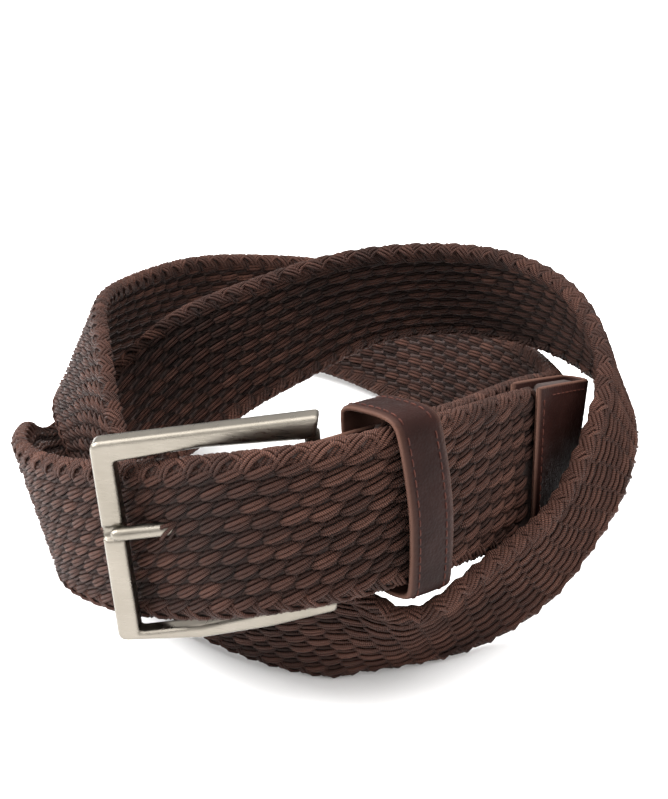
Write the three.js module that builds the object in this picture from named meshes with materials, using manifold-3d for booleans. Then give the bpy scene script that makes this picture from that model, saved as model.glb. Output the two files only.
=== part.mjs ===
// Coiled braided belt with a pin buckle. Millimetres, +Z up, resting on z = 0.
// The strap is swept along a curve through the rows of STATIONS.
// Every small part near the strap is placed in the strap's own frame:
// s runs along the strap, n points out of the coil, h points to its upper edge.
import * as THREE from 'three';
import { mergeVertices } from 'three/addons/utils/BufferGeometryUtils.js';
import Module from 'manifold-3d';

const wasm = await Module();
wasm.setup();

const STRAP_WIDTH = 35;
const STRAP_THICKNESS = 4;
const STRAP_STEP = 4;
const STRAP_START = 12;
const LEATHER = 1.3;
const SLEEVE_INNER = STRAP_THICKNESS / 2 + 0.3;
const CHAPE_LENGTH = 30;
const CHAPE_HALF_HEIGHT = 15;
const TIP_LENGTH = 21;
const TIP_SLANT = 0.2;
const TIP_HALF_HEIGHT = 17.9;
const KEEPER_WIDTH = 11;
const KEEPER_S_FROM_END = 60.7;
const KEEPER_SKEW = -0.2;
const KEEPER_GAP = 0.6;
const HEEL_RADIUS = 1.5;
const HEEL_HALF_LENGTH = 19;
const FRAME_THICKNESS = 3.8;
const FRAME_BEVEL = 0.5;
const FRAME_ORIGIN_X = -44.2;
const FRAME_ORIGIN_Y = -57.6;
const FRAME_TURN = THREE.MathUtils.degToRad(-3.8);
const PRONG_RADIUS = 1.4;
const PRONG_HOLE_RADIUS = 1.85;
const PRONG_H = 1.5;
const PRONG_TIP = { a: 1.6, off: -2.3, z: 44.8 };
const RING_INNER = 1.8;
const RING_OUTER = 3.1;
const NOTCH_RADIUS = 1.8;

// Moves everything so that the middle of the bounding box stands over the origin.
const PLACE_X = 2.5;
const PLACE_Y = -22.3;
const PLACE_Z = 0.61;

// Centre line of the strap from the buckle's heel to the free end.
// lean is the tilt of the upper edge away from the middle of the coil, in degrees.
const STATIONS = [
  { x: -2.5, y: -60, z: 48.4, lean: -3 },
  { x: 8, y: -54.4, z: 49.2, lean: 0 },
  { x: 16, y: -48.3, z: 47.8, lean: 0 },
  { x: 24.8, y: -39, z: 44.6, lean: -3 },
  { x: 33.8, y: -25.6, z: 41, lean: -6 },
  { x: 43.2, y: -9.6, z: 36, lean: -4 },
  { x: 51.6, y: 9.5, z: 27, lean: 4 },
  { x: 53, y: 32, z: 17.7, lean: 16 },
  { x: 46, y: 56, z: 15, lean: 35 },
  { x: 34, y: 77, z: 15, lean: 42 },
  { x: 16, y: 98, z: 15.5, lean: 38 },
  { x: -3, y: 109, z: 17.7, lean: 18 },
  { x: -22, y: 110, z: 19.5, lean: 0 },
  { x: -42, y: 104, z: 23, lean: -8 },
  { x: -59, y: 87, z: 25.5, lean: -18 },
  { x: -68, y: 66, z: 29.5, lean: -26 },
  { x: -67.5, y: 42, z: 34, lean: -26 },
  { x: -60, y: 18, z: 34.5, lean: -16 },
  { x: -54.5, y: -2, z: 26.5, lean: -9 },
  { x: -45.5, y: -18, z: 18.2, lean: 4 },
  { x: -32, y: -35.5, z: 17.6, lean: 12 },
  { x: -17, y: -46.7, z: 16.6, lean: 19 },
  { x: -5, y: -50, z: 16.4, lean: 18 },
  { x: 4, y: -51.6, z: 16, lean: 20 },
  { x: 12.5, y: -53.4, z: 13.6, lean: 43 },
  { x: 22.5, y: -48.2, z: 15.2, lean: 28 },
  { x: 35, y: -40.2, z: 17, lean: 17 },
  { x: 47.2, y: -32.5, z: 21.1, lean: 16 },
  { x: 55.6, y: -24.4, z: 30.2, lean: 7 },
  { x: 63.5, y: -13, z: 40.8, lean: -8 },
  { x: 65.8, y: 3, z: 46.5, lean: -24 },
  { x: 63, y: 23, z: 49, lean: -27 },
  { x: 53, y: 41, z: 49.6, lean: -28 },
  { x: 39, y: 52, z: 49, lean: -28 },
  { x: 22, y: 55.5, z: 48, lean: -26 },
  { x: 3, y: 55, z: 45, lean: -20 },
  { x: -15, y: 55, z: 36, lean: -8 },
  { x: -33, y: 56, z: 27.5, lean: 4 },
  { x: -46.5, y: 56, z: 16, lean: 38 },
  { x: -57.5, y: 50, z: 7.5, lean: 72 },
  { x: -62, y: 33, z: 7, lean: 70 },
  { x: -66.5, y: 15, z: 12.8, lean: 43 },
  { x: -67.3, y: -1, z: 20.5, lean: 20 },
  { x: -66.5, y: -17, z: 25.5, lean: 13 },
  { x: -60.5, y: -33, z: 30.5, lean: 8 },
  { x: -48, y: -47.5, z: 36, lean: 3 },
  { x: -33, y: -59, z: 42.4, lean: 0 },
  { x: -16, y: -67.3, z: 49.2, lean: -2 },
  { x: 2, y: -67.3, z: 52.2, lean: -3 },
  { x: 16, y: -58.5, z: 51.5, lean: -2 },
  { x: 27.4, y: -46.2, z: 48.1, lean: -2 },
  { x: 37.8, y: -31.8, z: 43.5, lean: -5 },
  { x: 51.4, y: -12.4, z: 35.6, lean: -5 },
];

// Cross-section of the strap, rounded at its two edges.
const STRAP_SECTION = [
  { n: 2, h: 15.8 },
  { n: 2, h: -15.8 },
  { n: 0.9, h: -17.5 },
  { n: -0.9, h: -17.5 },
  { n: -2, h: -15.8 },
  { n: -2, h: 15.8 },
  { n: -0.9, h: 17.5 },
  { n: 0.9, h: 17.5 },
];

// Outline of the buckle frame in its own plane: a along it, z upwards.
// r is the radius of a rounded corner.
const FRAME_OUTLINE = [
  { a: -1.5, z: 64.2, r: 1.8 },
  { a: 1.2, z: 19.2, r: 1.8 },
  { a: 18, z: 20.8, r: 0 },
  { a: 32, z: 24.2, r: 0 },
  { a: 45, z: 28.6, r: 1 },
  { a: 45, z: 31, r: 1 },
  { a: 30, z: 27.4, r: 0 },
  { a: 18, z: 23.6, r: 0 },
  { a: 5.4, z: 21.4, r: 0.8 },
  { a: 2.9, z: 60.4, r: 0.8 },
  { a: 12, z: 62.5, r: 0 },
  { a: 20, z: 64.2, r: 0 },
  { a: 41, z: 66.8, r: 1 },
  { a: 41.6, z: 71.6, r: 1.2 },
];

function spline(rows, samples) {
  const keys = ['x', 'y', 'z', 'lean'];
  const data = rows.map((row) => keys.map((key) => row[key]));
  const mirror = (p, q) => p.map((value, i) => 2 * value - q[i]);
  const last = data.length - 1;
  const pts = [mirror(data[0], data[1]), ...data, mirror(data[last], data[last - 1])];
  const out = [];
  for (let i = 0; i < samples; i += 1) {
    const u = (i / (samples - 1)) * last;
    const k = Math.min(Math.floor(u), last - 1);
    const t = u - k;
    const b = [
      (1 - t) ** 3 / 6,
      (3 * t ** 3 - 6 * t ** 2 + 4) / 6,
      (-3 * t ** 3 + 3 * t ** 2 + 3 * t + 1) / 6,
      t ** 3 / 6,
    ];
    out.push(keys.map((_, j) => b.reduce((sum, w, m) => sum + w * pts[k + m][j], 0)));
  }
  return out;
}

class Strap {
  constructor(rows) {
    const dense = spline(rows, 2401);
    this.points = dense.map((p) => new THREE.Vector3(p[0] + PLACE_X, p[1] + PLACE_Y, p[2] + PLACE_Z));
    this.leans = dense.map((p) => THREE.MathUtils.degToRad(p[3]));
    this.lengths = [0];
    for (let i = 1; i < dense.length; i += 1) {
      this.lengths.push(this.lengths[i - 1] + this.points[i].distanceTo(this.points[i - 1]));
    }
    this.total = this.lengths[dense.length - 1];
  }

  // Point and axes at distance s; beyond either end the strap's line goes on straight.
  at(s) {
    const last = this.points.length - 1;
    const inside = Math.min(Math.max(s, 0), this.total);
    let i = this.lengths.findIndex((length) => length >= inside);
    i = Math.min(Math.max(i, 1), last);
    const f = (inside - this.lengths[i - 1]) / (this.lengths[i] - this.lengths[i - 1]);
    const point = this.points[i - 1].clone().lerp(this.points[i], f);
    const from = this.points[Math.max(i - 2, 0)];
    const to = this.points[Math.min(i + 1, last)];
    const t = to.clone().sub(from).normalize();
    const lean = this.leans[i - 1] * (1 - f) + this.leans[i] * f;
    const out = new THREE.Vector3(t.y, -t.x, 0).normalize();
    const up = new THREE.Vector3().crossVectors(out, t);
    if (up.z < 0) up.negate();
    const w = out.clone().multiplyScalar(Math.sin(lean)).addScaledVector(up, Math.cos(lean));
    const n = out.clone().multiplyScalar(Math.cos(lean)).addScaledVector(up, -Math.sin(lean));
    point.addScaledVector(t, s - inside);
    return { point, t, n, w };
  }

  place(s, n, h) {
    const f = this.at(s);
    return f.point.addScaledVector(f.n, n).addScaledVector(f.w, h);
  }
}

// Closed solid through a row of sections with equal numbers of points.
function sweep(sections, ring = false) {
  const size = sections[0].length;
  const count = sections.length;
  const positions = sections.flat().flatMap((p) => [p.x, p.y, p.z]);
  const index = [];
  const spans = ring ? count : count - 1;
  for (let i = 0; i < spans; i += 1) {
    for (let j = 0; j < size; j += 1) {
      const a = i * size + j;
      const b = i * size + ((j + 1) % size);
      const c = ((i + 1) % count) * size + ((j + 1) % size);
      const d = ((i + 1) % count) * size + j;
      index.push(a, b, c, a, c, d);
    }
  }
  if (!ring) {
    const end = (count - 1) * size;
    for (let j = 1; j < size - 1; j += 1) {
      index.push(0, j + 1, j);
      index.push(end, end + j, end + j + 1);
    }
  }
  const geometry = new THREE.BufferGeometry();
  geometry.setAttribute('position', new THREE.Float32BufferAttribute(positions, 3));
  geometry.setIndex(index);
  return outward(geometry);
}

function volume(geometry) {
  const p = geometry.getAttribute('position');
  const index = geometry.getIndex();
  const a = new THREE.Vector3();
  const b = new THREE.Vector3();
  const c = new THREE.Vector3();
  let sum = 0;
  for (let i = 0; i < index.count; i += 3) {
    a.fromBufferAttribute(p, index.getX(i));
    b.fromBufferAttribute(p, index.getX(i + 1));
    c.fromBufferAttribute(p, index.getX(i + 2));
    sum += a.dot(b.cross(c)) / 6;
  }
  return sum;
}

// Turns every triangle round when the faces point inwards.
function outward(geometry) {
  if (volume(geometry) < 0) {
    const index = geometry.getIndex();
    for (let i = 0; i < index.count; i += 3) {
      const swap = index.getX(i + 1);
      index.setX(i + 1, index.getX(i + 2));
      index.setX(i + 2, swap);
    }
  }
  return geometry;
}

function welded(geometry) {
  const bare = new THREE.BufferGeometry();
  bare.setAttribute('position', geometry.getAttribute('position').clone());
  if (geometry.getIndex()) bare.setIndex(geometry.getIndex().clone());
  return outward(mergeVertices(bare, 1e-4));
}

function toManifold(geometry) {
  const clean = welded(geometry);
  const mesh = new wasm.Mesh({
    numProp: 3,
    vertProperties: new Float32Array(clean.getAttribute('position').array),
    triVerts: new Uint32Array(clean.getIndex().array),
  });
  return new wasm.Manifold(mesh);
}

function fromManifold(solid) {
  const mesh = solid.getMesh();
  const geometry = new THREE.BufferGeometry();
  geometry.setAttribute('position', new THREE.Float32BufferAttribute(Array.from(mesh.vertProperties), 3));
  geometry.setIndex(Array.from(mesh.triVerts));
  return geometry;
}

// Round bar through a list of { point, radius }, with the same facets all along.
function roundBar(stops, sides) {
  const first = stops[0].point;
  const axis = stops[stops.length - 1].point.clone().sub(first).normalize();
  const side = new THREE.Vector3().crossVectors(axis, new THREE.Vector3(0, 1, 0.3)).normalize();
  const other = new THREE.Vector3().crossVectors(axis, side);
  const sections = stops.map(({ point, radius }) => {
    const ring = [];
    for (let j = 0; j < sides; j += 1) {
      const angle = (2 * Math.PI * (j + 0.5)) / sides;
      ring.push(point.clone()
        .addScaledVector(side, Math.cos(angle) * radius)
        .addScaledVector(other, Math.sin(angle) * radius));
    }
    return ring;
  });
  return sweep(sections);
}

// Point of the buckle's plane: a along it, off out of it, z upwards.
function framePoint(a, off, z) {
  return new THREE.Vector3(
    FRAME_ORIGIN_X + PLACE_X + a * Math.cos(FRAME_TURN) - off * Math.sin(FRAME_TURN),
    FRAME_ORIGIN_Y + PLACE_Y + a * Math.sin(FRAME_TURN) + off * Math.cos(FRAME_TURN),
    z + PLACE_Z,
  );
}

// Corner points of an outline, with each rounded corner as a short arc.
function roundedOutline(corners) {
  const v = corners.map((c) => new THREE.Vector2(c.a, c.z));
  return corners.flatMap((corner, i) => {
    const here = v[i];
    if (corner.r === 0) return [here];
    const before = v[(i + v.length - 1) % v.length].clone().sub(here).normalize();
    const after = v[(i + 1) % v.length].clone().sub(here).normalize();
    const p = here.clone().addScaledVector(before, corner.r);
    const q = here.clone().addScaledVector(after, corner.r);
    return new THREE.QuadraticBezierCurve(p, here, q).getPoints(4);
  });
}

// The same outline moved inwards by a distance.
function inset(points, distance) {
  const turn = THREE.ShapeUtils.isClockWise(points) ? -1 : 1;
  return points.map((here, i) => {
    const d1 = here.clone().sub(points[(i + points.length - 1) % points.length]).normalize();
    const d2 = points[(i + 1) % points.length].clone().sub(here).normalize();
    const n1 = new THREE.Vector2(-d1.y, d1.x).multiplyScalar(turn);
    const n2 = new THREE.Vector2(-d2.y, d2.x).multiplyScalar(turn);
    const scale = distance / (1 + n1.dot(n2));
    return here.clone().addScaledVector(n1.add(n2), scale);
  });
}

function frameBody() {
  const outline = roundedOutline(FRAME_OUTLINE);
  const small = inset(outline, FRAME_BEVEL);
  const face = FRAME_THICKNESS / 2;
  const layers = [
    { points: small, off: -face },
    { points: outline, off: FRAME_BEVEL - face },
    { points: outline, off: face - FRAME_BEVEL },
    { points: small, off: face },
  ];
  const size = outline.length;
  const positions = layers.flatMap(({ points, off }) => points.flatMap((v) => {
    const p = framePoint(v.x, off, v.y);
    return [p.x, p.y, p.z];
  }));
  const index = [];
  for (let i = 0; i < layers.length - 1; i += 1) {
    for (let j = 0; j < size; j += 1) {
      const next = (j + 1) % size;
      index.push(i * size + j, i * size + next, (i + 1) * size + next);
      index.push(i * size + j, (i + 1) * size + next, (i + 1) * size + j);
    }
  }
  const clockwise = THREE.ShapeUtils.isClockWise(outline);
  const end = (layers.length - 1) * size;
  THREE.ShapeUtils.triangulateShape(small, []).forEach(([i, j, k]) => {
    if (clockwise) {
      index.push(i, j, k);
      index.push(end + i, end + k, end + j);
    } else {
      index.push(i, k, j);
      index.push(end + i, end + j, end + k);
    }
  });
  const geometry = new THREE.BufferGeometry();
  geometry.setAttribute('position', new THREE.Float32BufferAttribute(positions, 3));
  geometry.setIndex(index);
  return outward(geometry);
}

function prongLine(strap) {
  const tip = framePoint(PRONG_TIP.a, PRONG_TIP.off, PRONG_TIP.z);
  const bar = strap.place(0, 0, PRONG_H);
  const along = tip.clone().sub(bar).normalize();
  const root = bar.clone().addScaledVector(along, (RING_INNER + RING_OUTER) / 2);
  return { tip, root, along };
}

function buckleFrame(strap) {
  const heel = roundBar([
    { point: strap.place(0, 0, -HEEL_HALF_LENGTH), radius: HEEL_RADIUS },
    { point: strap.place(0, 0, HEEL_HALF_LENGTH), radius: HEEL_RADIUS },
  ], 12);
  const { tip, along } = prongLine(strap);
  const notch = roundBar([
    { point: tip.clone().addScaledVector(along, 2), radius: NOTCH_RADIUS },
    { point: tip.clone().addScaledVector(along, -8), radius: NOTCH_RADIUS },
  ], 16);
  const solid = toManifold(frameBody()).subtract(toManifold(notch)).add(toManifold(heel));
  return fromManifold(solid);
}

function buckleProng(strap) {
  const { tip, root, along } = prongLine(strap);
  const back = (distance) => tip.clone().addScaledVector(along, -distance);
  const shank = roundBar([
    { point: tip, radius: 0.7 },
    { point: back(0.5), radius: 1.15 },
    { point: back(1.5), radius: PRONG_RADIUS },
    { point: root, radius: PRONG_RADIUS },
  ], 12);
  const loop = [];
  for (let i = 0; i < 20; i += 1) {
    const angle = (2 * Math.PI * i) / 20;
    const s = Math.cos(angle);
    const n = Math.sin(angle);
    const corner = (radius, h) => strap.place(0, 0, PRONG_H + h)
      .addScaledVector(strap.at(0).t, s * radius)
      .addScaledVector(strap.at(0).n, n * radius);
    loop.push([
      corner(RING_OUTER, 1.2),
      corner(RING_OUTER, -1.2),
      corner(RING_INNER, -1.2),
      corner(RING_INNER, 1.2),
    ]);
  }
  return fromManifold(toManifold(shank).add(toManifold(sweep(loop, true))));
}

function strapSolid(strap) {
  const end = strap.total - 1;
  const spans = Math.round((end - STRAP_START) / STRAP_STEP);
  const sections = [];
  for (let i = 0; i <= spans; i += 1) {
    const s = STRAP_START + ((end - STRAP_START) * i) / spans;
    sections.push(STRAP_SECTION.map(({ n, h }) => strap.place(s, n, h)));
  }
  const { tip, along } = prongLine(strap);
  const hole = roundBar([
    { point: tip.clone().addScaledVector(along, 3), radius: PRONG_HOLE_RADIUS },
    { point: tip.clone().addScaledVector(along, -36), radius: PRONG_HOLE_RADIUS },
  ], 12);
  return fromManifold(toManifold(sweep(sections)).subtract(toManifold(hole)));
}

// Leather folded round one end of the strap. way is -1 at the start and +1 at the free end.
function sleeve(strap, bend, length, way, halfHeight, slant) {
  const inner = SLEEVE_INNER;
  const outer = SLEEVE_INNER + LEATHER;
  const path = [];
  const steps = Math.round(length / 4);
  for (let i = 0; i <= steps; i += 1) path.push({ back: 1 - i / steps, turn: 0 });
  for (let i = 1; i < 8; i += 1) path.push({ back: 0, turn: (Math.PI * i) / 8 });
  for (let i = steps; i >= 0; i -= 1) path.push({ back: 1 - i / steps, turn: Math.PI });
  const sections = path.map(({ back, turn }) => {
    const corner = (radius, h) => strap.place(
      bend + way * (Math.sin(turn) * radius - back * (length + slant * h)),
      Math.cos(turn) * radius,
      h,
    );
    return [
      corner(outer, halfHeight),
      corner(outer, -halfHeight),
      corner(inner, -halfHeight),
      corner(inner, halfHeight),
    ];
  });
  return sweep(sections);
}

function leatherChape(strap) {
  const body = sleeve(strap, 0, CHAPE_LENGTH, -1, CHAPE_HALF_HEIGHT, 0);
  const slot = [-5, 3.5].map((s) => [
    strap.place(s, 6, PRONG_H + 1.9),
    strap.place(s, -6, PRONG_H + 1.9),
    strap.place(s, -6, PRONG_H - 1.9),
    strap.place(s, 6, PRONG_H - 1.9),
  ]);
  return fromManifold(toManifold(body).subtract(toManifold(sweep(slot))));
}

function tipTab(strap) {
  return sleeve(strap, strap.total, TIP_LENGTH, 1, TIP_HALF_HEIGHT, TIP_SLANT);
}

// Where the inner strap layer lies in the outer layer's frame at distance s.
function innerLayer(strap, s) {
  const f = strap.at(s);
  let best = null;
  for (let q = 5; q < 60; q += 0.1) {
    const d = strap.at(q).point.sub(f.point);
    const off = Math.abs(d.dot(f.t));
    if (!best || off < best.off) best = { off, n: d.dot(f.n), h: d.dot(f.w) };
  }
  return best;
}

function keeperLoop(strap) {
  const s = strap.total - KEEPER_S_FROM_END;
  const layer = innerLayer(strap, s);
  const half = STRAP_WIDTH / 2 + KEEPER_GAP;
  const front = STRAP_THICKNESS / 2 + KEEPER_GAP;
  const back = layer.n - SLEEVE_INNER - LEATHER - 2.6 * KEEPER_GAP;
  const inside = [
    { n: front, h: half - 1.2 },
    { n: front - 1.4, h: half + 0.2 },
    { n: -2.6, h: half + 0.2 },
    { n: back + 1.6, h: layer.h + half + 0.8 },
    { n: back, h: layer.h + half - 1 },
    { n: back, h: layer.h - half + 0.6 },
    { n: back + 1.6, h: layer.h - half - 0.1 },
    { n: -3.6, h: layer.h - half - 0.1 },
    { n: front - 1.4, h: -half - 1 },
    { n: front, h: -half + 0.5 },
    { n: front + 1.3, h: -8.5 },
    { n: front + 1.9, h: 0 },
    { n: front + 1.3, h: 8.5 },
  ];
  const middle = { n: (front + back) / 2, h: layer.h / 2 };
  const f = strap.at(s);
  const sections = inside.map(({ n, h }, i) => {
    const before = inside[(i + inside.length - 1) % inside.length];
    const after = inside[(i + 1) % inside.length];
    const side = new THREE.Vector2(after.h - before.h, before.n - after.n).normalize();
    if (side.dot(new THREE.Vector2(n - middle.n, h - middle.h)) < 0) side.negate();
    const corner = (along, depth) => {
      const up = h + side.y * depth;
      return f.point.clone()
        .addScaledVector(f.t, along + KEEPER_SKEW * up)
        .addScaledVector(f.n, n + side.x * depth)
        .addScaledVector(f.w, up);
    };
    const wide = KEEPER_WIDTH / 2;
    return [
      corner(wide, 0),
      corner(wide, LEATHER),
      corner(-wide, LEATHER),
      corner(-wide, 0),
    ];
  });
  return sweep(sections, true);
}

function material(colour, roughness, metalness) {
  return new THREE.MeshStandardMaterial({ color: colour, roughness, metalness });
}

function node(name, geometry, look) {
  const bare = new THREE.BufferGeometry();
  bare.setAttribute('position', geometry.getAttribute('position'));
  bare.setIndex(geometry.getIndex());
  bare.computeVertexNormals();
  const mesh = new THREE.Mesh(bare, look);
  mesh.name = name;
  return mesh;
}

const strap = new Strap(STATIONS);
const belt = new THREE.Group();
belt.name = 'elastic_belt';
belt.add(node('braided_strap', strapSolid(strap), material(0x4a322b, 0.85, 0)));
belt.add(node('buckle_frame', buckleFrame(strap), material(0xb8b0a2, 0.35, 0.9)));
belt.add(node('buckle_prong', buckleProng(strap), material(0xc2bbae, 0.3, 0.9)));
belt.add(node('leather_chape', leatherChape(strap), material(0x2e1c1a, 0.5, 0)));
belt.add(node('keeper_loop', keeperLoop(strap), material(0x331f1d, 0.45, 0)));
belt.add(node('tip_tab', tipTab(strap), material(0x2a1918, 0.5, 0)));

export default belt;
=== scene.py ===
"""Coiled braided belt with a pin buckle, dressed on its CAD frame."""
import math

import bpy
import numpy as np
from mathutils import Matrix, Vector


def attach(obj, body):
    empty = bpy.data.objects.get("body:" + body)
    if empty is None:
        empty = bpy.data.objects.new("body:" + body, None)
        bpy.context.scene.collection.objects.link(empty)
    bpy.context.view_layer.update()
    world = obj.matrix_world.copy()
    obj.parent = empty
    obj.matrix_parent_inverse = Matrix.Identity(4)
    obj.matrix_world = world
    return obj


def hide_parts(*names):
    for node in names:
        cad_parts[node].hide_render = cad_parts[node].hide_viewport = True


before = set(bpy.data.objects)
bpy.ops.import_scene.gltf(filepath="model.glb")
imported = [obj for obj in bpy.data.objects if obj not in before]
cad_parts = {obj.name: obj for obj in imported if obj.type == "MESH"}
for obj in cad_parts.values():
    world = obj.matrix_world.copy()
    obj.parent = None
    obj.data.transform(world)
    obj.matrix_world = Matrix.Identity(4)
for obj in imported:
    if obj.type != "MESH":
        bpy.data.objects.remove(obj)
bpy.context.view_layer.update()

# Sizes in millimetres. Those that the part's source also names have the same value there.
STRAP_HALF_WIDTH = 17.5
STRAP_HALF_THICKNESS = 2
LEATHER = 1.3
SLEEVE_INNER = 2.3
CHAPE_LENGTH = 30
CHAPE_TOP = 15
CHAPE_BOTTOM = -15
TIP_LENGTH = 21
TIP_SLANT = 0.2
TIP_HALF_HEIGHT = 17.9
KEEPER_WIDTH = 11
KEEPER_S_FROM_END = 60.7
KEEPER_SKEW = -0.2
KEEPER_GAP = 0.6
STRAP_START = 12
FRAME_ORIGIN = (-44.2, -57.6)
FRAME_TURN = math.radians(-3.8)
PRONG_TIP = (1.6, -2.3, 44.8)
PRONG_RADIUS = 1.4
PRONG_CLEARANCE = 0.12
PRONG_H = 1.5
# Middle of the prong's ring round the heel bar, measured from the bar's middle.
RING_MIDDLE = 2.45
# Slot in the chape for the prong: its two ends along the strap, its reach through the leather.
SLOT_ENDS = (-5.0, 3.5)
SLOT_REACH = 6
SLOT_HALF_HEIGHT = 1.9
PLACE = np.array([2.5, -22.3, 0.61])

# Centre line of the strap: x, y, z and the lean of its upper edge in degrees.
STATIONS = [
    (-2.5, -60, 48.4, -3),
    (8, -54.4, 49.2, 0),
    (16, -48.3, 47.8, 0),
    (24.8, -39, 44.6, -3),
    (33.8, -25.6, 41, -6),
    (43.2, -9.6, 36, -4),
    (51.6, 9.5, 27, 4),
    (53, 32, 17.7, 16),
    (46, 56, 15, 35),
    (34, 77, 15, 42),
    (16, 98, 15.5, 38),
    (-3, 109, 17.7, 18),
    (-22, 110, 19.5, 0),
    (-42, 104, 23, -8),
    (-59, 87, 25.5, -18),
    (-68, 66, 29.5, -26),
    (-67.5, 42, 34, -26),
    (-60, 18, 34.5, -16),
    (-54.5, -2, 26.5, -9),
    (-45.5, -18, 18.2, 4),
    (-32, -35.5, 17.6, 12),
    (-17, -46.7, 16.6, 19),
    (-5, -50, 16.4, 18),
    (4, -51.6, 16, 20),
    (12.5, -53.4, 13.6, 43),
    (22.5, -48.2, 15.2, 28),
    (35, -40.2, 17, 17),
    (47.2, -32.5, 21.1, 16),
    (55.6, -24.4, 30.2, 7),
    (63.5, -13, 40.8, -8),
    (65.8, 3, 46.5, -24),
    (63, 23, 49, -27),
    (53, 41, 49.6, -28),
    (39, 52, 49, -28),
    (22, 55.5, 48, -26),
    (3, 55, 45, -20),
    (-15, 55, 36, -8),
    (-33, 56, 27.5, 4),
    (-46.5, 56, 16, 38),
    (-57.5, 50, 7.5, 72),
    (-62, 33, 7, 70),
    (-66.5, 15, 12.8, 43),
    (-67.3, -1, 20.5, 20),
    (-66.5, -17, 25.5, 13),
    (-60.5, -33, 30.5, 8),
    (-48, -47.5, 36, 3),
    (-33, -59, 42.4, 0),
    (-16, -67.3, 49.2, -2),
    (2, -67.3, 52.2, -3),
    (16, -58.5, 51.5, -2),
    (27.4, -46.2, 48.1, -2),
    (37.8, -31.8, 43.5, -5),
    (51.4, -12.4, 35.6, -5),
]

# Braid: leaves of four cords in rows on the outer face, dashes of four on the inner face,
# and bundles of four over both edges.
PITCH = 5.3
ROW = 3.42
ROW_COUNT = 9
ROW_SHIFT = -PITCH / 4
CORD_COUNT = 4
CORD_RADIUS = 0.42
CORD_STEP = 0.84
CORD_SIDES = 5
LEAF_ANGLE = math.radians(19)
DASH_ANGLE = math.radians(-7)
# A bundle is rounded: a cord this far from its middle lies lower by the droop.
DROOP_AT = 1.2
LEAF_DROOP = 0.52
KNOT_DROOP = 0.28
# Most that a cord may stand from the strap's middle: beside the tip, elsewhere, over an edge.
TIP_LIMIT = 1.7
FREE_LIMIT = 3.0
KNOT_LIMIT = 1.75
# Seeded variation of whole leaves and of single cords.
LEAF_TILT_SPREAD = math.radians(1.3)
LEAF_TONE_SPREAD = 0.6
LEAF_LIFT_SPREAD = 0.05
CORD_TONE_SPREAD = 0.4
CORD_S_SPREAD = 0.04
CORD_H_SPREAD = 0.03
CORD_N_SPREAD = 0.02
# Painted shade between the cords: cords are darkest up to DARK_BELOW from the strap's middle, and free of
# it DEPTH_RANGE further out.
DARK_BELOW = 0.8
DEPTH_RANGE = 0.85
# One cord along its leaf or dash: x along it, n above the strap's middle, share of the full spread.
LEAF = [
    (-3.9, 0.45, 0.45),
    (-3.2, 1.3, 0.72),
    (-2.1, 1.74, 0.95),
    (-0.5, 1.9, 1.0),
    (1.3, 1.72, 0.86),
    (2.9, 1.2, 0.55),
    (4.3, 0.4, 0.3),
]
DASH = [
    (-3.2, -0.6, 0.75),
    (-2.0, -1.45, 1.0),
    (0, -1.66, 1.0),
    (2.0, -1.45, 0.95),
    (3.3, -0.6, 0.65),
]
# One bundle over an edge: s along the strap, h above the edge line, n across the strap.
EDGE = 16.95
KNOT_START = 0.6
KNOT = [
    (-3.9, -4.3, 1.1),
    (-2.9, -2.8, 1.55),
    (-1.7, -1.3, 1.5),
    (-0.4, -0.25, 0.9),
    (0.9, 0.0, 0.0),
    (2.0, -0.75, -0.85),
    (2.9, -2.0, -1.3),
    (3.7, -3.4, -1.25),
]
KNOT_AXIS = -2.6
# Share of light that reaches each point of the bundle; its two ends lie in the braid.
KNOT_LIGHT = [0.25, 0.7, 1.0, 1.0, 1.0, 0.85, 0.6, 0.2]

# One stitch: distance along it and height above the leather.
STITCH = np.array([(0, -0.22), (0.2, 0.02), (0.8, 0.07), (1.4, 0.02), (1.6, -0.22)])
STITCH_START = 0.4
STITCH_PITCH = 2.15
THREAD_RADIUS = 0.16
THREAD_SIDES = 6
# Rows of stitches: on the keeper, and how far in from the edges of the tip and the chape.
KEEPER_STITCH_ROWS = (-3.7, 3.2)
KEEPER_STITCH_DEPTH = 1.36
STITCH_INSET = 2.2
TIP_COLUMN_HALF = 15.6
TIP_ROW_H = 15.9
CHAPE_STITCH_ROWS = (STITCH_INSET, 19.0)
CHAPE_COLUMN_INSET = 2


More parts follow.
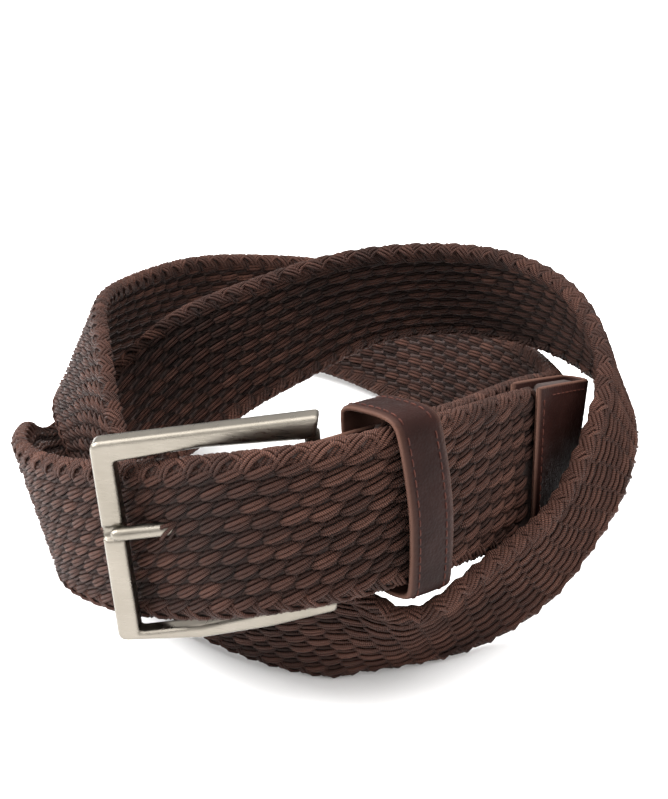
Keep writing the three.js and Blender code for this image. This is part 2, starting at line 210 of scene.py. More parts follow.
class Strap:
    """The strap's line and axes, the same curve as in the part's source."""

    def __init__(self, rows):
        p = np.array(rows, float)
        p = np.vstack([2 * p[0] - p[1], p, 2 * p[-1] - p[-2]])
        last = len(rows) - 1
        u = np.linspace(0, last, 6001)
        k = np.minimum(u.astype(int), last - 1)
        t = (u - k)[:, None]
        weights = [
            (1 - t) ** 3 / 6,
            (3 * t ** 3 - 6 * t ** 2 + 4) / 6,
            (-3 * t ** 3 + 3 * t ** 2 + 3 * t + 1) / 6,
            t ** 3 / 6,
        ]
        curve = sum(weights[i] * p[k + i] for i in range(4))
        self.points = curve[:, :3] + PLACE
        step = np.linalg.norm(np.diff(self.points, axis=0), axis=1)
        self.lengths = np.concatenate([[0], np.cumsum(step)])
        self.total = self.lengths[-1]
        tangent = np.gradient(self.points, axis=0)
        self.t = tangent / np.linalg.norm(tangent, axis=1)[:, None]
        out = np.stack([self.t[:, 1], -self.t[:, 0], 0 * u], 1)
        out /= np.linalg.norm(out, axis=1)[:, None]
        up = np.cross(out, self.t)
        up *= np.sign(up[:, 2:3])
        lean = np.radians(curve[:, 3])[:, None]
        self.w = np.sin(lean) * out + np.cos(lean) * up
        self.n = np.cos(lean) * out - np.sin(lean) * up

    def axes(self, s):
        """Point, t, n and w at distances s; beyond the ends the line goes on straight."""
        s = np.asarray(s, float)
        inside = np.clip(s, 0, self.total)
        pick = lambda a: np.stack([np.interp(inside, self.lengths, a[:, i]) for i in range(3)], -1)
        t = pick(self.t)
        return pick(self.points) + t * (s - inside)[..., None], t, pick(self.n), pick(self.w)

    def place(self, s, n, h):
        point, _, across, up = self.axes(s)
        return point + across * np.asarray(n, float)[..., None] + up * np.asarray(h, float)[..., None]


def frame_point(a, off, z):
    """Point of the buckle's plane: a along it, off out of it, z upwards."""
    c, s = math.cos(FRAME_TURN), math.sin(FRAME_TURN)
    x = FRAME_ORIGIN[0] + a * c - off * s
    y = FRAME_ORIGIN[1] + a * s + off * c
    return np.array([x, y, z]) + PLACE


strap = Strap(STATIONS)
rng = np.random.default_rng(7)


def add_object(name, data):
    obj = bpy.data.objects.new(name, data)
    bpy.context.scene.collection.objects.link(obj)
    return obj


def quad_mesh(name, points, quads, uv=None, **attributes):
    """Mesh of quads from arrays in millimetres, smooth shaded, with point attributes."""
    mesh = bpy.data.meshes.new(name)
    mesh.vertices.add(len(points))
    mesh.vertices.foreach_set("co", (points / 1000).astype(np.float32).ravel())
    mesh.loops.add(quads.size)
    mesh.loops.foreach_set("vertex_index", quads.astype(np.int32).ravel())
    mesh.polygons.add(len(quads))
    mesh.polygons.foreach_set("loop_start", (np.arange(len(quads)) * 4).astype(np.int32))
    mesh.update(calc_edges=True)
    if uv is not None:
        layer = mesh.uv_layers.new(name="UVMap")
        layer.data.foreach_set("uv", uv.astype(np.float32).ravel())
    for key, values in attributes.items():
        attribute = mesh.attributes.new(key, "FLOAT", "POINT")
        attribute.data.foreach_set("value", values.astype(np.float32).ravel())
    mesh.validate()
    mesh.shade_smooth()
    return add_object(name, mesh)


def tube_points(centre, across, radius, sides, phase):
    """Rings round many middle lines at once: cords by rings by sides by xyz."""
    along = np.gradient(centre, axis=1)
    along /= np.linalg.norm(along, axis=2)[..., None]
    side = np.cross(along, across)
    side /= np.linalg.norm(side, axis=2)[..., None]
    lift = np.cross(side, along)
    turn = 2 * np.pi * (np.arange(sides) + phase) / sides
    ring = side[:, :, None] * np.cos(turn)[:, None] + lift[:, :, None] * np.sin(turn)[:, None]
    return centre[:, :, None] + ring * radius


def tube_quads(cords, rings, sides):
    base = np.arange(cords)[:, None, None] * rings * sides
    i = np.arange(rings - 1)[None, :, None] * sides
    j = np.arange(sides)[None, None, :]
    k = (j + 1) % sides
    quads = np.stack([base + i + j, base + i + k, base + i + sides + k, base + i + sides + j], -1)
    return quads.reshape(-1, 4)


def tube_uv(centre, sides):
    """Millimetres along each cord, from a seeded start, by the share of a turn round it."""
    cords, rings = centre.shape[:2]
    step = np.linalg.norm(np.diff(centre, axis=1), axis=2)
    u = np.concatenate([np.zeros((cords, 1)), np.cumsum(step, axis=1)], axis=1)
    u = u + rng.uniform(0, 1, (cords, 1))
    low = np.broadcast_to(u[:, :-1, None], (cords, rings - 1, sides))
    high = np.broadcast_to(u[:, 1:, None], (cords, rings - 1, sides))
    j = np.arange(sides)[None, None, :]
    v0 = np.broadcast_to(j / sides, low.shape)
    v1 = np.broadcast_to((j + 1) / sides, low.shape)
    corners = [(low, v0), (low, v1), (high, v1), (high, v0)]
    return np.stack([np.stack(pair, -1) for pair in corners], -2).reshape(-1, 2)


def cord_mesh(name, s, n, h, tone, light=None):
    """Cords given by their middle lines in strap coordinates, arrays of cords by rings."""
    centre = part_round_prong(strap.place(s, n, h))
    points = tube_points(centre, strap.axes(s)[2], CORD_RADIUS, CORD_SIDES, 0.5)
    # The depth attribute is painted shade: it darkens cords near the strap's middle, or takes the given
    # share of light for edge bundles.
    if light is None:
        depth = np.clip((np.abs(n) - DARK_BELOW) / DEPTH_RANGE, 0, 1)
    else:
        depth = np.array(light) + 0 * s
    shape = (*s.shape, CORD_SIDES)
    return quad_mesh(
        name,
        points.reshape(-1, 3),
        tube_quads(*shape),
        tube_uv(centre, CORD_SIDES),
        tone=np.broadcast_to(tone[:, None, None], shape),
        depth=np.broadcast_to(depth[:, :, None], shape),
    )


def prong_line():
    """The prong's tip, its root at the ring round the heel bar, and its direction."""
    tip = frame_point(*PRONG_TIP)
    bar = strap.place(0, 0, PRONG_H)
    along = (tip - bar) / np.linalg.norm(tip - bar)
    return tip, bar + along * RING_MIDDLE, along


def part_round_prong(points):
    """Cords that would cross the prong are pushed aside to lie along it."""
    tip, root, along = prong_line()
    need = PRONG_RADIUS + CORD_RADIUS + PRONG_CLEARANCE
    reach = np.clip((points - root) @ along, 0, np.linalg.norm(tip - root))
    away = points - root - reach[..., None] * along
    distance = np.linalg.norm(away, axis=-1)
    push = np.maximum(need - distance, 0) / np.maximum(distance, 0.05)
    return points + away * push[..., None]


def braid(name, first, last, profile, angle, shift, side):
    """Leaves or dashes of parallel cords in rows on one face of the strap."""
    line = np.array(profile)
    rows_s, rows_n, rows_h, tones = [], [], [], []
    for row in range(ROW_COUNT):
        h0 = (row - (ROW_COUNT - 1) / 2) * ROW
        offset = (row * shift) % PITCH
        centres = np.arange(math.ceil((first - offset) / PITCH), math.floor((last - offset) / PITCH) + 1)
        centres = centres * PITCH + offset
        centres = centres[(centres >= first) & (centres < last)]
        tilt = angle + rng.normal(0, LEAF_TILT_SPREAD, len(centres))
        leaf_tone = rng.normal(0, LEAF_TONE_SPREAD, len(centres))
        leaf_lift = rng.normal(0, LEAF_LIFT_SPREAD, len(centres))
        for c in range(CORD_COUNT):
            q = (c - (CORD_COUNT - 1) / 2) * CORD_STEP
            droop = LEAF_DROOP * (abs(q) / DROOP_AT) ** 2
            x = line[:, 0] * (1 - 0.05 * abs(q)) + rng.normal(0, CORD_S_SPREAD)
            across = q * line[:, 2]
            s = centres[:, None] + np.cos(tilt)[:, None] * x - np.sin(tilt)[:, None] * across
            h = h0 + np.sin(tilt)[:, None] * x + np.cos(tilt)[:, None] * across
            h = h + rng.normal(0, CORD_H_SPREAD, (len(centres), 1))
            n = line[:, 1] - side * droop + leaf_lift[:, None]
            n = n + rng.normal(0, CORD_N_SPREAD, (len(centres), 1))
            beside_tip = s > strap.total - TIP_LENGTH - TIP_SLANT * h - 0.8
            limit = np.where(beside_tip, TIP_LIMIT, FREE_LIMIT)
            rows_s.append(s)
            rows_n.append(np.clip(n, -limit, limit))
            rows_h.append(h)
            tones.append(leaf_tone + rng.normal(0, CORD_TONE_SPREAD, len(centres)))
    s, n, h = np.vstack(rows_s), np.vstack(rows_n), np.vstack(rows_h)
    return cord_mesh(name, s, n, h, np.concatenate(tones))


def knots(name, first, last, edge):
    """Bundles of cords that turn over one edge, from the outer and the inner face in turn."""
    path = np.array(KNOT)
    along = np.gradient(path, axis=0)
    along /= np.linalg.norm(along, axis=1)[:, None]
    outward = path * [0, 1, 1] - [0, KNOT_AXIS, 0]
    outward /= np.linalg.norm(outward, axis=1)[:, None]
    lateral = np.cross(along, outward)
    lateral /= np.linalg.norm(lateral, axis=1)[:, None]
    lists = [[], [], [], []]
    for face in (1, -1):
        centres = np.arange(first, last, PITCH) + (KNOT_START if face > 0 else KNOT_START + PITCH / 2)
        base = rng.normal(0, LEAF_TONE_SPREAD, len(centres))
        for c in range(CORD_COUNT):
            q = (c - (CORD_COUNT - 1) / 2) * CORD_STEP
            line = path + lateral * q - outward * KNOT_DROOP * (q / DROOP_AT) ** 2
            s = centres[:, None] + line[:, 0] + rng.normal(0, CORD_S_SPREAD, (len(centres), 1))
            h = (EDGE + np.minimum(line[:, 1], 0.02)) * edge + 0 * s
            n = np.clip(line[:, 2], -KNOT_LIMIT, KNOT_LIMIT) * face + 0 * s
            tone = base + rng.normal(0, CORD_TONE_SPREAD, len(centres))
            for store, value in zip(lists, (s, n, h, tone)):
                store.append(value)
    s, n, h = (np.vstack(v) for v in lists[:3])
    return cord_mesh(name, s, n, h, np.concatenate(lists[3]), KNOT_LIGHT)


def band_core(name, first, last):
    """Middle of the braid under its cords, coloured dark as painted shade in the gaps between them. It
    fills the leather sleeves at both ends.
    """
    open_run = [(0.85, 16.2), (1.35, 15.2), (1.35, 13.8), (0.95, 13.0)]
    in_chape = [(0.85, 16.2), (1.35, 15.2), (2.05, 14.4), (2.05, 8.0)]
    in_tip = [(1.4, 17.2), (2.0, 16.6), (2.05, 14.0), (2.05, 8.0)]
    tip_edge = strap.total - TIP_LENGTH + 4.5
    stations = np.arange(first, last, 2.0)
    sections = []
    for s in stations:
        upper = in_chape if s < CHAPE_LENGTH - 1 else in_tip if s > tip_edge else open_run
        half = upper + [(n, -h) for n, h in reversed(upper)]
        sections.append(half + [(-n, h) for n, h in reversed(half)])
    return swept(name, lambda i, n, h: strap.place(stations[i], n, h), sections)


def swept(name, place, sections, ring=False, **attributes):
    """Closed solid through sections of points; place(i, a, b) gives the point in millimetres."""
    size = len(sections[0])
    points = np.array([place(i, a, b) for i, section in enumerate(sections) for a, b in section])
    faces = []
    spans = len(sections) if ring else len(sections) - 1
    for i in range(spans):
        k = (i + 1) % len(sections)
        for j in range(size):
            m = (j + 1) % size
            faces.append((i * size + j, i * size + m, k * size + m, k * size + j))
    if not ring:
        faces.append(tuple(range(size))[::-1])
        faces.append(tuple((len(sections) - 1) * size + j for j in range(size)))
    mesh = bpy.data.meshes.new(name)
    mesh.from_pydata([tuple(p / 1000) for p in points], [], faces)
    for key, values in attributes.items():
        attribute = mesh.attributes.new(key, "FLOAT", "POINT")
        attribute.data.foreach_set("value", np.asarray(values, np.float32).ravel())
    mesh.update()
    mesh.shade_smooth()
    return add_object(name, mesh)


def sleeve(name, bend, length, way, top, bottom, slant):
    """Leather folded round one end of the strap. way is -1 at the start and +1 at the free end."""
    steps = int(length)
    path = [(1 - i / steps, 0.0) for i in range(steps + 1)]
    path += [(0.0, math.pi * i / 16) for i in range(1, 16)]
    path += [(1 - i / steps, math.pi) for i in range(steps, -1, -1)]
    sections, edge = [], []
    count = len(path)
    cut = 0.45
    for i in range(count):
        end = min(i, count - 1 - i)
        thin = (0.35, 0.12, 0.0)[min(end, 2)]
        lo, hi = thin, LEATHER - thin
        section = [
            (hi, top - cut),
            (hi, (top + bottom) / 2),
            (hi, bottom + cut),
            (hi - 0.35, bottom + 0.06),
            (lo + 0.35, bottom + 0.06),
            (lo, bottom + cut),
            (lo, (top + bottom) / 2),
            (lo, top - cut),
            (lo + 0.35, top - 0.06),
            (hi - 0.35, top - 0.06),
        ]
        sections.append(section)
        rim = 1.0 if end == 0 else 0.0
        edge.append([rim, rim, rim, 1, 1, rim, rim, rim, 1, 1])

    def place(i, depth, h):
        back, turn = path[i]
        radius = SLEEVE_INNER + depth
        s = bend + way * (math.sin(turn) * radius - back * (length + slant * h))
        return strap.place(s, math.cos(turn) * radius, h)

    return swept(name, place, sections, edge=edge)


def inner_layer(s):
    """Where the inner strap layer lies in the outer layer's frame at distance s."""
    point, t, n, w = strap.axes(s)
    q = np.arange(5, 60, 0.1)
    d = strap.axes(q)[0] - point
    best = np.argmin(np.abs(d @ t))
    return d[best] @ n, d[best] @ w


def keeper_outline():
    """Inner outline of the keeper across the strap: distance s, points (n, h) and outward sides."""
    s = strap.total - KEEPER_S_FROM_END
    layer_n, layer_h = inner_layer(s)
    half = STRAP_HALF_WIDTH + KEEPER_GAP
    front = STRAP_HALF_THICKNESS + KEEPER_GAP
    back = layer_n - SLEEVE_INNER - LEATHER - 2.6 * KEEPER_GAP
    corners = [
        (front, half - 1.2),
        (front - 1.4, half + 0.2),
        (-2.6, half + 0.2),
        (back + 1.6, layer_h + half + 0.8),
        (back, layer_h + half - 1),
        (back, layer_h - half + 0.6),
        (back + 1.6, layer_h - half - 0.1),
        (-3.6, layer_h - half - 0.1),
        (front - 1.4, -half - 1),
        (front, -half + 0.5),
        (front + 1.3, -8.5),
        (front + 1.9, 0),
        (front + 1.3, 8.5),
    ]
    points = np.array(corners)
    for _ in range(2):
        after = np.roll(points, -1, axis=0)
        points = np.stack([points * 0.8 + after * 0.2, points * 0.2 + after * 0.8], 1).reshape(-1, 2)
    dense = []
    for p, q in zip(points, np.roll(points, -1, axis=0)):
        parts = max(1, int(np.linalg.norm(q - p) / 1.2))
        dense += [p + (q - p) * i / parts for i in range(parts)]
    points = np.array(dense)
    tangent = np.roll(points, -1, axis=0) - np.roll(points, 1, axis=0)
    tangent /= np.linalg.norm(tangent, axis=1)[:, None]
    side = np.stack([tangent[:, 1], -tangent[:, 0]], 1)
    middle = points.mean(axis=0)
    if ((points - middle) * side).sum() < 0:
        side = -side
    return s, points, side


def keeper(name):
    """Leather loop round both strap layers, slightly crowned, with cut edges."""
    s, points, side = keeper_outline()
    origin, t, n, w = strap.axes(s)
    wide = KEEPER_WIDTH / 2
    section = [
        (wide - 0.35, 0.0),
        (wide, 0.35),
        (wide, 0.85),
        (wide - 0.4, 1.22),
        (wide - 1.5, 1.34),
        (0, 1.42),
        (1.5 - wide, 1.34),
        (0.4 - wide, 1.22),
        (-wide, 0.85),
        (-wide, 0.35),
        (0.35 - wide, 0.0),
    ]
    rim = [0.6, 1, 1, 0.3, 0, 0, 0, 0.3, 1, 1, 0.6]

    def place(i, along, depth):
        p = points[i] + side[i] * depth
        return origin + t * (along + KEEPER_SKEW * p[1]) + n * p[0] + w * p[1]

    return swept(name, place, [section] * len(points), ring=True, edge=[rim] * len(points))


def stitch_row(places, normals):
    """Middle lines of the stitches along a row of points, each with the leather's normals."""
    gaps = np.linalg.norm(np.diff(places, axis=0), axis=1)
    length = np.concatenate([[0], np.cumsum(gaps)])
    stitches = []
    start = STITCH_START
    while start + STITCH[-1, 0] < length[-1]:
        stations = start + STITCH[:, 0]
        pick = lambda a: np.stack([np.interp(stations, length, a[:, i]) for i in range(3)], -1)
        stitches.append((pick(places) + pick(normals) * STITCH[:, 1:], pick(normals)))
        start += STITCH_PITCH
    return stitches


def thread_mesh(name, stitches):
    centre = np.array([c for c, _ in stitches])
    normal = np.array([n for _, n in stitches])
    points = tube_points(centre, normal, THREAD_RADIUS, THREAD_SIDES, 0)
    return quad_mesh(name, points.reshape(-1, 3), tube_quads(*points.shape[:3]))


def keeper_stitches():
    s, points, side = keeper_outline()
    origin, t, n, w = strap.axes(s)
    rows = []
    surface = points + side * KEEPER_STITCH_DEPTH
    for along in KEEPER_STITCH_ROWS:
        places = np.array([
            origin + t * (along + KEEPER_SKEW * p[1]) + n * p[0] + w * p[1]
            for p in surface
        ])
        normals = np.array([n * v[0] + w * v[1] for v in side])
        rows += stitch_row(places, normals)
    return rows


def sleeve_stitches(stations, heights, face):
    """Stitches on the outer (1) or inner (-1) face of a leather fold."""
    s = np.array(stations, float)
    h = np.array(heights, float)
    radius = face * (SLEEVE_INNER + LEATHER)
    _, _, n, _ = strap.axes(s)
    return stitch_row(strap.place(s, radius + 0 * s, h), n * face)


# Materials.


def new_material(name):
    material = bpy.data.materials.new(name)
    material.use_nodes = True
    tree = material.node_tree
    return material, tree, tree.nodes["Principled BSDF"]


def node(tree, kind, **values):
    made = tree.nodes.new(kind)
    for key, value in values.items():
        if key.startswith("in_"):
            made.inputs[key[3:].replace("_", " ")].default_value = value
        else:
            setattr(made, key, value)
    return made


def math_node(tree, operation, a, b=None):
    made = tree.nodes.new("ShaderNodeMath")
    made.operation = operation
    for socket, value in zip(made.inputs, (a, b)):
        if value is None:
            continue
        if isinstance(value, (int, float)):
            socket.default_value = value
        else:
            tree.links.new(value, socket)
    return made.outputs[0]


def ramp(tree, source, stops):
    made = tree.nodes.new("ShaderNodeValToRGB")
    elements = made.color_ramp.elements
    while len(elements) < len(stops):
        elements.new(0.5)
    for element, (position, colour) in zip(elements, stops):
        element.position = position
        element.color = (*colour, 1)
    tree.links.new(source, made.inputs[0])
    return made.outputs[0]


def mix_colour(tree, factor, a, b, blend="MIX"):
    made = tree.nodes.new("ShaderNodeMix")
    made.data_type = "RGBA"
    made.blend_type = blend
    for socket, value in ((made.inputs[0], factor), (made.inputs[6], a), (made.inputs[7], b)):
        if isinstance(value, (int, float)):
            socket.default_value = value
        elif isinstance(value, tuple):
            socket.default_value = (*value, 1)
        else:
            tree.links.new(value, socket)
    return made.outputs[2]


def bump(tree, shader, height, strength, distance):
    made = node(tree, "ShaderNodeBump", in_Strength=strength, in_Distance=distance)
    tree.links.new(height, made.inputs["Height"])
    tree.links.new(made.outputs[0], shader.inputs["Normal"])


def object_noise(tree, scale, detail=2.0, stretch=None):
    coords = tree.nodes.new("ShaderNodeTexCoord")
    source = coords.outputs["Object"]
    if stretch:
        mapping = tree.nodes.new("ShaderNodeMapping")
        mapping.inputs["Scale"].default_value = stretch
        tree.links.new(source, mapping.inputs[0])
        source = mapping.outputs[0]
    made = node(tree, "ShaderNodeTexNoise", in_Scale=scale, in_Detail=detail)
    tree.links.new(source, made.inputs["Vector"])
    return made.outputs[0]


def braid_material():
    material, tree, shader = new_material("braid_cord")
    uv = node(tree, "ShaderNodeUVMap", uv_map="UVMap")
    split = tree.nodes.new("ShaderNodeSeparateXYZ")
    tree.links.new(uv.outputs[0], split.inputs[0])
    turns = math_node(tree, "MULTIPLY", split.outputs[0], 2.5)
    twist = math_node(tree, "ADD", turns, split.outputs[1])
    wave = math_node(tree, "SINE", math_node(tree, "MULTIPLY", twist, 2 * math.pi))
    rib = math_node(tree, "ADD", math_node(tree, "MULTIPLY", wave, 0.5), 0.5)
    tone = node(tree, "ShaderNodeAttribute", attribute_name="tone").outputs["Fac"]
    depth = node(tree, "ShaderNodeAttribute", attribute_name="depth").outputs["Fac"]
    wide = object_noise(tree, 22, 3)
    mottle = math_node(tree, "ADD", math_node(tree, "MULTIPLY", tone, 0.16), wide)
    colour = ramp(tree, mottle, [
        (0.2, (0.018, 0.0074, 0.0052)),
        (0.5, (0.040, 0.0165, 0.0115)),
        (0.85, (0.074, 0.033, 0.0235)),
    ])
    # Painted shade in the grooves of each cord's twist and painted highlight on its ridges, on top of the
    # same ribs as bump.
    painted_rib_shade = ramp(tree, rib, [(0.0, (0.40, 0.38, 0.38)), (0.6, (1.0, 1.0, 1.0)), (1.0, (1.45, 1.38, 1.3))])
    colour = mix_colour(tree, 1.0, colour, painted_rib_shade, "MULTIPLY")
    # Painted shade: the depth attribute darkens cords that lie low between their neighbours and the tucked
    # ends of the edge bundles.
    painted_cavity_shade = ramp(tree, depth, [(0.0, (0.10, 0.09, 0.09)), (0.55, (0.55, 0.54, 0.54)), (1.0, (1, 1, 1))])
    colour = mix_colour(tree, 1.0, colour, painted_cavity_shade, "MULTIPLY")
    tree.links.new(colour, shader.inputs["Base Color"])
    shader.inputs["Roughness"].default_value = 0.58
    shader.inputs["Specular IOR Level"].default_value = 0.12
    shader.inputs["Sheen Weight"].default_value = 0.03
    shader.inputs["Sheen Roughness"].default_value = 0.45
    shader.inputs["Sheen Tint"].default_value = (0.75, 0.5, 0.42, 1)
    fine = object_noise(tree, 2600, 2)
    height = math_node(tree, "ADD", rib, math_node(tree, "MULTIPLY", fine, 0.35))
    bump(tree, shader, height, 0.8, 0.00022)
    return material


def core_shade_material():
    material, tree, shader = new_material("braid_core")
    # Painted shade: the core is darker than the cords and stands for the shade in the gaps between them.
    colour = ramp(tree, object_noise(tree, 900, 3), [
        (0.3, (0.012, 0.0058, 0.0044)),
        (0.7, (0.032, 0.0145, 0.0105)),
    ])
    tree.links.new(colour, shader.inputs["Base Color"])
    shader.inputs["Roughness"].default_value = 0.9
    bump(tree, shader, object_noise(tree, 1500, 2), 0.5, 0.0003)
    return material


def leather_material():
    material, tree, shader = new_material("dark_leather")
    coords = tree.nodes.new("ShaderNodeTexCoord")
    pores = node(tree, "ShaderNodeTexVoronoi", in_Scale=1500.0)
    tree.links.new(coords.outputs["Object"], pores.inputs["Vector"])
    colour = ramp(tree, object_noise(tree, 90, 4), [
        (0.3, (0.009, 0.0034, 0.0028)),
        (0.55, (0.0145, 0.0056, 0.0046)),
        (0.8, (0.022, 0.0088, 0.0072)),
    ])
    edge = node(tree, "ShaderNodeAttribute", attribute_name="edge").outputs["Fac"]
    colour = mix_colour(tree, edge, colour, (0.082, 0.042, 0.031))
    tree.links.new(colour, shader.inputs["Base Color"])
    rough = ramp(tree, object_noise(tree, 350, 3), [(0.3, (0.36, 0.36, 0.36)), (0.7, (0.52, 0.52, 0.52))])
    tree.links.new(rough, shader.inputs["Roughness"])
    shader.inputs["Specular IOR Level"].default_value = 0.045
    creases = object_noise(tree, 420, 3)
    height = math_node(tree, "ADD", pores.outputs["Distance"], math_node(tree, "MULTIPLY", creases, 0.7))
    bump(tree, shader, height, 0.35, 0.00018)
    return material


def thread_material():
    material, tree, shader = new_material("stitch_thread")
    colour = ramp(tree, object_noise(tree, 700, 2), [
        (0.3, (0.030, 0.0085, 0.006)),
        (0.7, (0.062, 0.019, 0.0125)),
    ])
    tree.links.new(colour, shader.inputs["Base Color"])
    shader.inputs["Roughness"].default_value = 0.6
    shader.inputs["Specular IOR Level"].default_value = 0.12
    bump(tree, shader, object_noise(tree, 4000, 2), 0.5, 0.0001)
    return material


def nickel_material(name, stretch):
    material, tree, shader = new_material(name)
    shader.inputs["Metallic"].default_value = 1.0
    brush = object_noise(tree, 260, 4, stretch)
    cloud = object_noise(tree, 60, 3)
    colour = ramp(tree, cloud, [(0.3, (0.165, 0.149, 0.124)), (0.7, (0.215, 0.195, 0.166))])
    tree.links.new(colour, shader.inputs["Base Color"])
    rough = ramp(tree, brush, [(0.3, (0.24, 0.24, 0.24)), (0.7, (0.40, 0.40, 0.40))])
    tree.links.new(rough, shader.inputs["Roughness"])
    bump(tree, shader, brush, 0.12, 0.0002)
    cushion = node(tree, "ShaderNodeBevel", samples=8, in_Radius=0.0013)
    tree.links.new(cushion.outputs[0], shader.inputs["Normal"].links[0].from_node.inputs["Normal"])
    return material


def floor_material():
    material, tree, shader = new_material("pale_floor")
    colour = ramp(tree, object_noise(tree, 3, 2), [(0.3, (0.90, 0.90, 0.90)), (0.7, (0.93, 0.93, 0.93))])
    tree.links.new(colour, shader.inputs["Base Color"])
    shader.inputs["Roughness"].default_value = 0.75
    return material


def dress(obj, material):
    obj.data.materials.clear()
    obj.data.materials.append(material)
    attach(obj, "root")
    return obj


def soften(obj, width_mm):
    """Rounded edges and smooth shading on a metal piece."""
    obj.data.shade_smooth()
    rounding = obj.modifiers.new("rounding", "BEVEL")
    rounding.width = width_mm / 1000
    rounding.segments = 5
    rounding.limit_method = "ANGLE"
    rounding.angle_limit = math.radians(24)
    rounding.harden_normals = True


def cut_slot(obj):
    """Cuts the prong's slot through the chape's leather, as in the solid."""
    top, bottom = PRONG_H + SLOT_HALF_HEIGHT, PRONG_H - SLOT_HALF_HEIGHT
    corners = []
    for s in SLOT_ENDS:
        for n, h in ((SLOT_REACH, top), (-SLOT_REACH, top), (-SLOT_REACH, bottom), (SLOT_REACH, bottom)):
            corners.append(tuple(strap.place(s, n, h) / 1000))
    faces = [(0, 1, 2, 3), (7, 6, 5, 4), (0, 4, 5, 1), (1, 5, 6, 2), (2, 6, 7, 3), (3, 7, 4, 0)]
    mesh = bpy.data.meshes.new("slot_cutter")
    mesh.from_pydata(corners, [], faces)
    cutter = add_object("slot_cutter", mesh)
    cut = obj.modifiers.new("slot", "BOOLEAN")
    cut.operation = "DIFFERENCE"
    cut.solver = "EXACT"
    cut.object = cutter
    bpy.context.view_layer.update()
    evaluated = obj.evaluated_get(bpy.context.evaluated_depsgraph_get())
    result = bpy.data.meshes.new_from_object(evaluated)
    obj.modifiers.clear()
    obj.data = result
    bpy.data.objects.remove(cutter)


# Pieces.

braid_look = braid_material()
core_shade_look = core_shade_material()
leather_look = leather_material()
thread_look = thread_material()

BRAID_FIRST = CHAPE_LENGTH + 2.5
BRAID_LAST = strap.total - TIP_LENGTH + 0.8
third = (BRAID_LAST - BRAID_FIRST) / 3
half = (BRAID_LAST - BRAID_FIRST) / 2

strap_pieces = [dress(band_core("braid_core", STRAP_START, strap.total - 0.2), core_shade_look)]
for part in range(3):
    begin = BRAID_FIRST + part * third
    piece = braid(f"braid_outer_{part + 1}", begin, begin + third, LEAF, LEAF_ANGLE, ROW_SHIFT, 1)
    strap_pieces.append(dress(piece, braid_look))
for part in range(2):
    begin = BRAID_FIRST + part * half
    piece = braid(f"braid_inner_{part + 1}", begin, begin + half, DASH, DASH_ANGLE, PITCH / 2, -1)
    strap_pieces.append(dress(piece, braid_look))
for edge, label in ((1, "upper"), (-1, "lower")):
    piece = knots(f"braid_edge_{label}", STRAP_START + 2, BRAID_LAST - 3.5, edge)
    strap_pieces.append(dress(piece, braid_look))
for piece in strap_pieces:
    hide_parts("braided_strap")

chape = dress(
    sleeve("chape_fold", 0, CHAPE_LENGTH, -1, CHAPE_TOP, CHAPE_BOTTOM, 0),
    leather_look,
)
tip = dress(
    sleeve("tip_cover", strap.total, TIP_LENGTH, 1, TIP_HALF_HEIGHT, -TIP_HALF_HEIGHT, TIP_SLANT),
    leather_look,
)
loop = dress(keeper("keeper_band"), leather_look)
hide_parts("tip_tab")
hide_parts("keeper_loop")

dress(thread_mesh("keeper_stitches", keeper_stitches()), thread_look)

tip_edge = strap.total - TIP_LENGTH + STITCH_INSET
column = np.linspace(TIP_COLUMN_HALF, -TIP_COLUMN_HALF, 24)
run = np.linspace(tip_edge + 0.6, strap.total, 10)
tip_rows = []
for face in (1, -1):
    tip_rows += sleeve_stitches(tip_edge - TIP_SLANT * column, column, face)
    tip_rows += sleeve_stitches(run, TIP_ROW_H + 0 * run, face)
    tip_rows += sleeve_stitches(run, -TIP_ROW_H + 0 * run, face)
dress(thread_mesh("tip_stitches", tip_rows), thread_look)

chape_column = np.linspace(CHAPE_TOP - CHAPE_COLUMN_INSET, CHAPE_BOTTOM + CHAPE_COLUMN_INSET, 24)
chape_rows = []
for face in (1, -1):
    for inset in CHAPE_STITCH_ROWS:
        chape_rows += sleeve_stitches(CHAPE_LENGTH - inset + 0 * chape_column, chape_column, face)
dress(thread_mesh("chape_stitches", chape_rows), thread_look)

# Metal: each finish is a copy of the solid, with the direction of its brushing and its rounding.
for key, slot_name, stretch, width in (
    ("buckle_frame", "buckle_metal", (1.0, 1.0, 12.0), 0.75),
    ("buckle_prong", "prong_metal", (1.0, 8.0, 8.0), 0.2),
):
    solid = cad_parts[key]
    metal = add_object(key + "_finish", solid.data.copy())
    metal.matrix_world = solid.matrix_world
    dress(metal, nickel_material("satin_nickel_" + key, stretch))
    soften(metal, width)
    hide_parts(key)

cut_slot(chape)
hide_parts("leather_chape")

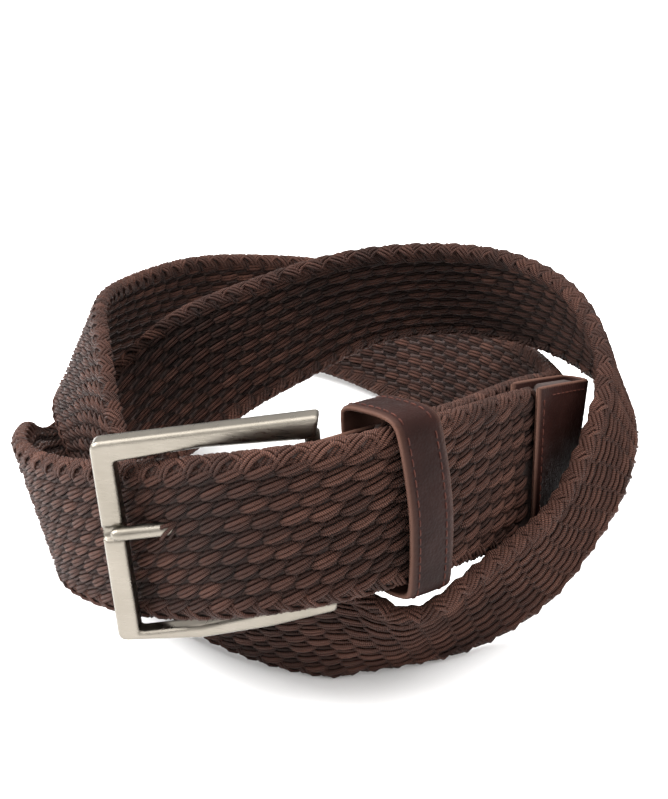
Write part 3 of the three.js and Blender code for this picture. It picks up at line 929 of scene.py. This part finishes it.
# Floor, light and camera.
floor_mesh = bpy.data.meshes.new("floor")
floor_mesh.from_pydata([(-3, -3, 0), (3, -3, 0), (3, 6, 0), (-3, 6, 0)], [], [(0, 1, 2, 3)])
floor = add_object("floor", floor_mesh)
floor.data.materials.append(floor_material())

world = bpy.data.worlds.new("studio")
bpy.context.scene.world = world
world.use_nodes = True
sky = world.node_tree
sky_place = sky.nodes.new("ShaderNodeTexCoord")
sky_split = sky.nodes.new("ShaderNodeSeparateXYZ")
sky.links.new(sky_place.outputs["Generated"], sky_split.inputs[0])
sky_colour = ramp(sky, sky_split.outputs["Z"], [
    (0.0, (0.15, 0.147, 0.144)),
    (0.18, (0.40, 0.395, 0.39)),
    (0.5, (1.5, 1.48, 1.46)),
])
sky.links.new(sky_colour, sky.nodes["Background"].inputs[0])
sky.nodes["Background"].inputs[1].default_value = 1.1
bpy.context.scene.view_settings.view_transform = "Standard"


def area_light(name, place, target, size, power):
    data = bpy.data.lights.new(name, "AREA")
    data.shape = "RECTANGLE"
    data.size, data.size_y = size
    data.energy = power
    obj = add_object(name, data)
    obj.location = place
    obj.rotation_euler = (Vector(target) - Vector(place)).to_track_quat("-Z", "Y").to_euler()


area_light("key", (-0.85, -0.05, 0.6), (0, 0, 0.03), (0.55, 0.55), 19.0)
area_light("top", (0.0, -0.1, 1.1), (0, -0.05, 0), (1.5, 1.2), 25.0)
area_light("fill", (0.75, -0.35, 0.4), (0, 0, 0.03), (0.5, 0.4), 2.0)

# The camera's angle, aim, distance and lens are fitted to the photograph.
ELEVATION = math.radians(27)
AIM = (np.array([0, 0, 43.4]) + PLACE) / 1000
DISTANCE = 0.320
LENS_PIXELS = 1385
PHOTO_HEIGHT = 799
SENSOR_HEIGHT = 36
camera_data = bpy.data.cameras.new("camera")
camera_data.sensor_fit = "VERTICAL"
camera_data.sensor_height = SENSOR_HEIGHT
camera_data.lens = LENS_PIXELS * SENSOR_HEIGHT / PHOTO_HEIGHT
camera_data.clip_start = 0.01
camera = add_object("camera", camera_data)
back = np.array([0, -math.cos(ELEVATION), math.sin(ELEVATION)])
camera.location = Vector(AIM + back * DISTANCE)
camera.rotation_euler = (math.pi / 2 - ELEVATION, 0, 0)
bpy.context.scene.camera = camera
